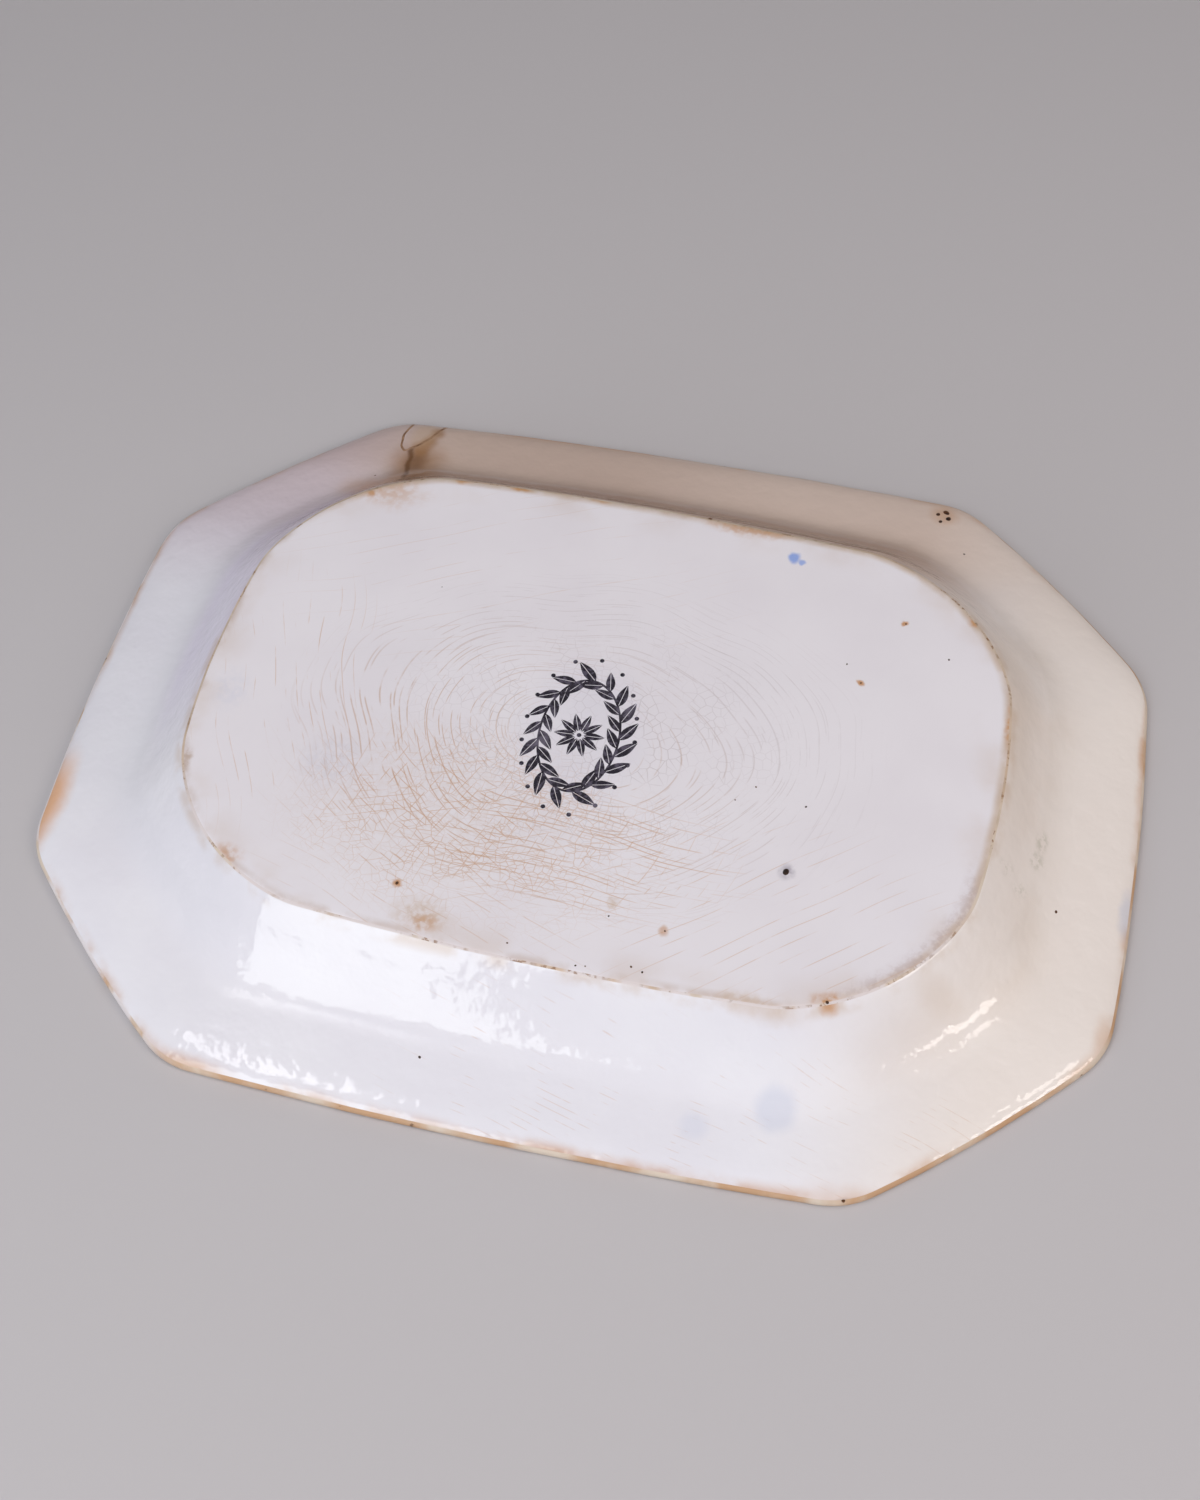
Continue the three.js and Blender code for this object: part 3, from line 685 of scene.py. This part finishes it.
def coatTree(values):
    add, given = newTree("coatRoundPlatter", values)
    baseLine, rimLine, sectionLine = (
        add("GeometryNodeObjectInfo", (given[k],), "Geometry") for k in ("Base Ring", "Rim Ring", "Section")
    )
    grid = add("GeometryNodeMeshGrid", {
        "Vertices X": add("ShaderNodeMath", (given["Around"], 1), operation="ADD"), "Vertices Y": given["Along"],
    })
    index = add("GeometryNodeInputIndex")
    column = add("ShaderNodeMath", (index, 0.5), operation="ADD")
    column = add("ShaderNodeMath", (column, given["Along"]), operation="DIVIDE")
    column = add("ShaderNodeMath", (column,), operation="FLOOR")
    passed = add("ShaderNodeMath", (column, given["Along"]), operation="MULTIPLY")
    row = add("ShaderNodeMath", (index, passed), operation="SUBTRACT")
    column = add("ShaderNodeMath", (column, given["Around"]), operation="FLOORED_MODULO")
    position = add("GeometryNodeInputPosition")
    facing = add("GeometryNodeInputNamedAttribute", ("facing",), data_type="FLOAT_VECTOR")
    basePoint, rimPoint, outward, along = (
        add("GeometryNodeSampleIndex", {"Geometry": line, "Value": value, "Index": at}, data_type="FLOAT_VECTOR")
        for line, value, at in (
            (baseLine, position, column), (rimLine, position, column),
            (baseLine, facing, column), (sectionLine, position, row),
        )
    )
    out, share, height = add("ShaderNodeSeparateXYZ", (along,)).node.outputs
    share = add("ShaderNodeMath", (share, mm), operation="DIVIDE")  # guides are scaled to metres
    beyond = add("ShaderNodeMath", (out, 0), operation="MAXIMUM")
    blend = add("ShaderNodeMath", (beyond, given["Rim Run"]), operation="DIVIDE")
    free = {"data_type": "VECTOR", "clamp_factor": False}
    edge = add("ShaderNodeMix", {0: blend, 4: basePoint, 5: rimPoint}, 1, **free)
    inset = add("ShaderNodeMath", (out, 0), operation="MINIMUM")
    inset = add("ShaderNodeCombineXYZ", (inset, inset, 0))
    edge = add("ShaderNodeVectorMath", (outward, inset, edge), operation="MULTIPLY_ADD")
    point = add("ShaderNodeMix", {0: share, 4: given["Middle"], 5: edge}, 1, **free)
    point = add("ShaderNodeVectorMath", (point, (1, 1, 0)), operation="MULTIPLY")
    point = add("ShaderNodeVectorMath", (point, add("ShaderNodeCombineXYZ", (0, 0, height))), operation="ADD")

    # how far each point lies outside the foot line in mm, less than 0 on the underside
    toFoot = add("ShaderNodeVectorMath", (edge, given["Middle"]), 1, operation="DISTANCE")
    inside = add("ShaderNodeMath", (share, 1), operation="SUBTRACT")
    fromFoot = add("ShaderNodeMath", (inside, toFoot, out), operation="MULTIPLY_ADD")
    fromFoot = add("ShaderNodeMath", (fromFoot, mm), operation="DIVIDE")
    marked = add("GeometryNodeStoreNamedAttribute", {"Geometry": grid, "Name": "fromFoot", "Value": fromFoot})
    shaped = add("GeometryNodeSetPosition", {"Geometry": marked, "Position": point})
    lifted = add("ShaderNodeMapRange", (height, 0.0, given["Steady To"]))
    steady = add("ShaderNodeCombineXYZ", (1, 1, lifted))
    for width, rise in (("Wave Width", "Wave Height"), ("Grain Width", "Grain Height")):
        scale = add("ShaderNodeMath", (1.0, given[width]), operation="DIVIDE")
        swell = add("ShaderNodeTexNoise", {"Vector": position, "Scale": scale, "Detail": 1.0}, 1)
        swell = add("ShaderNodeVectorMath", (swell, (0.5, 0.5, 0.5)), operation="SUBTRACT")
        twice = add("ShaderNodeMath", (given[rise], 2.0), operation="MULTIPLY")
        swell = add("ShaderNodeVectorMath", {0: swell, "Scale": twice}, operation="SCALE")
        swell = add("ShaderNodeVectorMath", (swell, steady), operation="MULTIPLY")
        shaped = add("GeometryNodeSetPosition", {"Geometry": shaped, "Offset": swell})
    merged = add("GeometryNodeMergeByDistance", {"Geometry": shaped, "Distance": given["Merge Within"]})
    smooth = add("GeometryNodeSetShadeSmooth", {"Geometry": add("GeometryNodeFlipFaces", (merged,))})
    return endTree(add, smooth, given["Material"])


def guide(name, points, facing=None):  # loose points in metres that a tree reads
    mesh = bpy.data.meshes.new(name)
    mesh.from_pydata([Vector(p) * mm for p in points], [], [])
    if facing:
        values = [v for f in facing for v in (f.x, f.y, 0)]
        mesh.attributes.new("facing", "FLOAT_VECTOR", "POINT").data.foreach_set("vector", values)
    return addObject(name, mesh)


def growPiece(name, tree, values):
    piece = addObject(name, bpy.data.meshes.new(name))
    modifier = piece.modifiers.new(tree.name, "NODES")
    modifier.node_group = tree
    for item in tree.interface.items_tree:
        if item.in_out == "INPUT" and item.name in values:
            modifier[item.identifier] = values[item.name]
    settle(piece, values["Material"])
    return piece


def settle(piece, finish):  # modifiers into a plain mesh with one material
    depsgraph = bpy.context.evaluated_depsgraph_get()
    mesh = bpy.data.meshes.new_from_object(piece.evaluated_get(depsgraph))
    piece.modifiers.clear()
    piece.data = mesh
    mesh.name = piece.name
    mesh.materials.clear()
    mesh.materials.append(finish)
    mesh.polygons.foreach_set("material_index", [0] * len(mesh.polygons))


def dropObjects(*things):
    for thing in things:
        bpy.data.objects.remove(thing)


baseGuide = guide("baseRing", [(p.x, p.y, 0) for p in baseRing], baseFacing)
rimGuide = guide("rimRing", [(p.x, p.y, 0) for p in rimRing])


def growCoat(name, finish):
    line = guide(name + "Section", sections[name])
    values = {
        "Base Ring": baseGuide, "Rim Ring": rimGuide, "Section": line, "Around": len(directions),
        "Along": len(sections[name]), "Rim Run": rimRun * mm, "Middle": (baseMiddle.x * mm, baseMiddle.y * mm, 0),
        **waves, "Material": finishes[finish],
    }
    tree = bpy.data.node_groups.get("coatRoundPlatter") or coatTree(values)
    piece = growPiece(name, tree, values)
    dropObjects(line)
    print("grown", name, len(piece.data.polygons), "faces")
    return piece


baseGlaze = growCoat("baseGlaze", "base_glaze")
backGlaze = growCoat("backGlaze", "back_glaze")
faceGlaze = growCoat("faceGlaze", "face_glaze")
clayBody = growCoat("clayBody", "clay")
rimChip = growCoat("whole", "back_glaze")
chipGlue = growCoat("whole", "glue")
dropObjects(baseGuide, rimGuide)


def bridge(shape, rows):  # side faces between two rings
    count = len(rows[0])
    for i in range(count):
        k = (i + 1) % count
        shape.faces.new((rows[0][i], rows[0][k], rows[1][k], rows[1][i]))


def shapeObject(name, shape):
    mesh = bpy.data.meshes.new(name)
    shape.to_mesh(mesh)
    shape.free()
    return addObject(name, mesh)


# the tongue of rim that broke out and was glued back

chip = {
    "fromCorner": 11.5, "inset": 0.8, "width": 10.8, "depth": 18, "lean": -16, "from": -8, "to": 22,
    "gap": 0.9, "glueClearance": 0.06, "points": 96, "ragged": 0.035,
}


def chipPrism(margin):
    shape = bmesh.new()
    corner = Vector((chip["fromCorner"] - rimSizes["longSide"] / 2, rimSizes["width"] / 2 - chip["inset"], 0))
    place = Matrix.Translation(corner) @ Matrix.Rotation(math.radians(chip["lean"]), 4, "Z")
    rows = []
    for height in (chip["from"], chip["to"]):
        ring = []
        for i in range(chip["points"]):
            t = math.tau * i / chip["points"]
            rough = 1 + chip["ragged"] * (math.sin(3 * t + 1) + 0.6 * math.sin(7 * t) + 0.4 * math.sin(13 * t + 2))
            across, deep = chip["width"] / 2 * rough + margin, chip["depth"] * rough + margin
            point = Vector((across * math.cos(t), deep * math.sin(t), height))
            ring.append(shape.verts.new((place @ point) * mm))
        rows.append(ring)
    bridge(shape, rows)
    shape.faces.new(rows[0][::-1])
    shape.faces.new(rows[1])
    return shapeObject("chipPrism", shape)


def cutWith(piece, operation, prism):
    cut = piece.modifiers.new("cut", "BOOLEAN")
    cut.operation, cut.object, cut.solver = operation, prism, "EXACT"
    settle(piece, piece.data.materials[0])


breakOut = chipPrism(chip["gap"])
tongue = chipPrism(0)
glueOut = chipPrism(chip["gap"] - chip["glueClearance"])
glueIn = chipPrism(chip["glueClearance"])
for piece in (clayBody, backGlaze, faceGlaze):
    cutWith(piece, "DIFFERENCE", breakOut)
cutWith(rimChip, "INTERSECT", tongue)
cutWith(chipGlue, "INTERSECT", glueOut)
cutWith(chipGlue, "DIFFERENCE", glueIn)
rimChip.name, chipGlue.name = "rimChip", "chipGlue"
dropObjects(breakOut, tongue, glueOut, glueIn)
print("tongue cut from the rim")


# a generic wreath printed in the middle of the underside

leafSizes = {"leaf": (8.2, 3.1), "petal": (6.6, 2.3), "veinGap": 0.2, "steps": 7, "belly": 0.8}  # mm
wreath = {
    "Width": 25 * mm, "Height": 41 * mm, "Oval Points": 128, "Stem Width": 0.7 * mm,
    "Leaves": 34, "Lean": math.radians(36), "Smallest": 0.85, "Largest": 1.12, "Petals": 10, "Petal Reach": 1.4 * mm,
    "Berries": 17, "Berry Radius": 0.75 * mm, "Berry Sides": 12, "Berry Out": 1.4,
    "Ink": 0.05 * mm, "Sunk": 0.02 * mm, "Middle": (*(v * mm for v in glazeLook["printMiddle"]), 0),
    "Turn": (0, 0, math.radians(3)), "Seed": 4,
}


def leafShape(name):  # two lobes on a bare vein, stalk end at the origin
    (length, width), steps = leafSizes[name], leafSizes["steps"]
    shape = bmesh.new()
    for side in (1, -1):
        swells = [(i / steps, math.sin(math.pi * (i / steps) ** leafSizes["belly"])) for i in range(steps + 1)]
        ring = [(length * share, leafSizes["veinGap"] / 2 + width / 2 * swell) for share, swell in swells]
        rows = [[shape.verts.new((x * mm, y * side * mm, z)) for x, y in ring] for z in (0, wreath["Ink"])]
        for row in rows:
            shape.faces.new(row)
        bridge(shape, rows)
    bmesh.ops.recalc_face_normals(shape, faces=shape.faces)
    return shapeObject(name, shape)


def wreathTree(values):
    add, given = newTree("printedWreath", values)
    halves = [add("ShaderNodeMath", (given[k], 0.5), operation="MULTIPLY") for k in ("Width", "Height")]
    stretch = add("ShaderNodeCombineXYZ", (*halves, 1.0))
    circle = add("GeometryNodeCurvePrimitiveCircle", {"Resolution": given["Oval Points"], "Radius": 1.0})
    oval = add("GeometryNodeTransform", {"Geometry": circle, "Scale": stretch})
    position, index = add("GeometryNodeInputPosition"), add("GeometryNodeInputIndex")

    side = add("ShaderNodeMath", (index, 2), operation="FLOORED_MODULO")
    side = add("ShaderNodeMath", (side, 2, -1), operation="MULTIPLY_ADD")
    lean = add("ShaderNodeCombineXYZ", {"Z": add("ShaderNodeMath", (side, given["Lean"]), operation="MULTIPLY")})
    growing = add("FunctionNodeAlignRotationToVector", {"Vector": add("GeometryNodeInputTangent")}, axis="X")
    growing = add("FunctionNodeRotateRotation", (growing, lean), rotation_space="LOCAL")
    size = add("FunctionNodeRandomValue", {2: given["Smallest"], 3: given["Largest"], "Seed": given["Seed"]}, 1)
    leaf, petal = (add("GeometryNodeObjectInfo", (given[k],), "Geometry") for k in ("Leaf", "Petal"))
    places = add("GeometryNodeResampleCurve", {"Curve": oval, "Count": given["Leaves"]})
    leaves = {"Points": places, "Instance": leaf, "Rotation": growing, "Scale": size}
    leaves = add("GeometryNodeInstanceOnPoints", leaves)
    ribbon = add("GeometryNodeCurvePrimitiveQuadrilateral", {"Width": given["Stem Width"], "Height": given["Ink"]})
    stem = add("GeometryNodeCurveToMesh", {"Curve": oval, "Profile Curve": ribbon})

    hub = add("GeometryNodeCurvePrimitiveCircle", {"Resolution": given["Petals"], "Radius": given["Petal Reach"]})
    spread = add("FunctionNodeAlignRotationToVector", {"Vector": position}, axis="X")
    petals = add("GeometryNodeInstanceOnPoints", {"Points": hub, "Instance": petal, "Rotation": spread})
    berry = add("GeometryNodeMeshCylinder", {
        "Vertices": given["Berry Sides"], "Radius": given["Berry Radius"], "Depth": given["Ink"],
    })
    wide = add("ShaderNodeVectorMath", {0: stretch, "Scale": given["Berry Out"]}, operation="SCALE")
    beadLine = add("GeometryNodeTransform", {"Geometry": circle, "Scale": wide})
    beadLine = add("GeometryNodeResampleCurve", {"Curve": beadLine, "Count": given["Berries"]})
    berries = add("GeometryNodeInstanceOnPoints", {"Points": beadLine, "Instance": berry})

    together = add("GeometryNodeJoinGeometry").node
    for part in (leaves, stem, petals, berries, berry):
        together.id_data.links.new(part, together.inputs[0])
    placed = add("GeometryNodeTransform", {
        "Geometry": together.outputs[0], "Translation": given["Middle"], "Rotation": given["Turn"],
    })
    # the print lies on the glaze and follows its waves: each point is dropped on it from above
    under = add("GeometryNodeObjectInfo", (given["Under"],), "Geometry")
    above = add("ShaderNodeVectorMath", (position, (0, 0, 2 * section["height"] * mm)), operation="ADD")
    ray = {"Target Geometry": under, "Source Position": above, "Ray Length": 3 * section["height"] * mm}
    struck = add("GeometryNodeRaycast", ray, "Hit Position")
    lift = add("ShaderNodeSeparateXYZ", (position,), 2)
    lift = add("ShaderNodeMath", (lift, given["Sunk"]), operation="SUBTRACT")
    laid = add("ShaderNodeVectorMath", (struck, add("ShaderNodeCombineXYZ", (0, 0, lift))), operation="ADD")
    real = add("GeometryNodeRealizeInstances", (placed,))
    laid = add("GeometryNodeSetPosition", {"Geometry": real, "Position": laid})
    return endTree(add, laid, given["Material"])


leaf, petal = leafShape("leaf"), leafShape("petal")
wreath.update({"Leaf": leaf, "Petal": petal, "Under": baseGlaze, "Material": finishes["ink"]})
printedWreath = growPiece("printedWreath", wreathTree(wreath), wreath)
dropObjects(leaf, petal)
print("wreath printed:", len(printedWreath.data.polygons), "faces")


# iron specks and burst bubbles, read off the photograph but for the last two

specks = {"Flatness": 0.3, "Narrowness": 0.8, "Seed": 7}
speckSunk = 0.06  # mm
speckPlaces = [  # middle and width in mm
    (68.4, -40.4, 2.4), (-43.5, -68, 1.3), (14.7, -83, 0.8), (17.5, -82.6, 0.7), (30.5, -80, 0.9), (34, -81, 0.9),
    (-6.4, -80.2, 0.8), (20.5, -65.5, 0.8), (37.6, -66.8, 0.8), (49, -19.3, 0.7), (54.3, -13.5, 0.8),
    (70.3, -17.3, 0.9), (73.8, 36.6, 0.8), (79.2, 30.4, 0.8), (89.6, 55.6, 0.8), (104.8, 44.6, 0.9),
    (149.1, -25.5, 1.2), (104.2, 104.5, 0.9), (-26.6, -111.6, 1.1), (95.9, 122.6, 2.5), (93.2, 121.0, 1.8),
    (96.9, 119.6, 2.2), (94.4, 117.6, 1.6), (20, 85.2, 1.5), (87.3, -79, 1.3), (101.5, -126, 1.4), (-103, 97, 0.8),
    (-60, 40, 0.6),
]


def surfaceHeight(x, y):
    start = Vector((x, y, 2 * section["height"])) * mm
    hits = [piece.ray_cast(start, Vector((0, 0, -1))) for piece in (baseGlaze, backGlaze, clayBody)]
    return max(hit[1].z for hit in hits if hit[0]) / mm


def speckTree(values):
    add, given = newTree("ironSpecks", values)
    points = add("GeometryNodeObjectInfo", (given["Places"],), "Geometry")
    width = add("GeometryNodeInputNamedAttribute", ("width",), data_type="FLOAT")
    ball = add("GeometryNodeMeshIcoSphere", {"Radius": 0.5, "Subdivisions": 2})
    narrow = add("ShaderNodeMath", (width, given["Narrowness"]), operation="MULTIPLY")
    thick = add("ShaderNodeMath", (width, given["Flatness"]), operation="MULTIPLY")
    size = add("ShaderNodeCombineXYZ", (width, narrow, thick))
    turns = {0: (0, 0, 0), 1: (0, 0, math.tau), "Seed": given["Seed"]}
    turn = add("FunctionNodeRandomValue", turns, data_type="FLOAT_VECTOR")
    dots = add("GeometryNodeInstanceOnPoints", {"Points": points, "Instance": ball, "Rotation": turn, "Scale": size})
    return endTree(add, dots, given["Material"])


speckGuide = guide("speckPlaces", [(x, y, surfaceHeight(x, y) - speckSunk) for x, y, _ in speckPlaces])
speckWidths = speckGuide.data.attributes.new("width", "FLOAT", "POINT")
speckWidths.data.foreach_set("value", [width * mm for _, _, width in speckPlaces])
specks.update({"Places": speckGuide, "Material": finishes["iron"]})
ironSpecks = growPiece("ironSpecks", speckTree(specks), specks)
dropObjects(speckGuide)
print("specks set:", len(speckPlaces))


# each piece rides on the one body and stands for its solid

sharpFrom = math.radians(38)
for piece, node, slot in (
    (clayBody, "clay_body", "clay"), (baseGlaze, "base_glaze", "base_glaze"), (backGlaze, "back_glaze", "back_glaze"),
    (faceGlaze, "face_glaze", "face_glaze"), (rimChip, "rim_chip", "chip_glaze"), (chipGlue, "chip_glue", "glue"),
):
    piece.data.set_sharp_from_angle(angle=sharpFrom)
    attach(piece, "root")
    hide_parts(node)
for piece in (printedWreath, ironSpecks):
    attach(piece, "root")


# stage: a plain pale floor and soft light

stage = {
    "floor": "#bdb9bb", "floorSize": 6.0, "floorRoughness": 0.8, "world": (0.13, 0.128, 0.126),
    # name, degrees right of straight in front and up, distance, width and height in m, radiance, colour,
    # and whether the glaze mirrors it
    "lights": [
        ("window", -28, 28, 1.3, 0.7, 0.94, 2.4, "#f2f8f4", True),
        ("sideWindow", 72, 30, 1.5, 0.46, 0.22, 4.2, "#fff6ee", True),
        ("cornerWindow", 80, 48.4, 1.61, 0.2, 0.2, 3.4, "#fff6ee", True),
        ("skylight", -60, 64, 1.56, 0.5, 0.17, 3.4, "#ffffff", True),
        ("windowFill", -28, 28, 1.4, 0.75, 1.0, 1.7, "#eceeff", False),
        ("sideFill", 75, 36, 1.5, 0.45, 0.7, 6.2, "#fff6ee", False),
        ("softbox", -11, 75, 2.0, 2.0, 2.0, 1.62, "#fbfbff", False),
    ],
}


def makeStage(s):
    mesh = bpy.data.meshes.new("floor")
    half = s["floorSize"] / 2
    mesh.from_pydata([(-half, -half, 0), (half, -half, 0), (half, half, 0), (-half, half, 0)], [], [(0, 1, 2, 3)])
    floor = addObject("floor", mesh)
    paper = bpy.data.materials.new("paleFloor")
    paper.use_nodes = True
    shader = paper.node_tree.nodes["Principled BSDF"]
    shader.inputs["Base Color"].default_value = linear(s["floor"])
    shader.inputs["Roughness"].default_value = s["floorRoughness"]
    mesh.materials.append(paper)
    for name, azimuth, elevation, distance, width, height, radiance, colour, mirrored in s["lights"]:
        lamp = bpy.data.lights.new(name, "AREA")
        lamp.shape, lamp.size, lamp.size_y = "RECTANGLE", width, height
        lamp.energy = radiance * math.pi * width * height
        lamp.color = linear(colour)[:3]
        way = wayTo(azimuth, elevation)
        thing = addObject(name, lamp)
        thing.location = way * distance
        thing.rotation_euler = way.to_track_quat("Z", "Y").to_euler()
        thing.visible_glossy = mirrored
    world = bpy.data.worlds.new("softRoom")
    world.use_nodes = True
    world.node_tree.nodes["Background"].inputs["Color"].default_value = (*s["world"], 1)
    scene.world = world
    scene.view_settings.view_transform = "Standard"


makeStage(stage)
print("stage set")
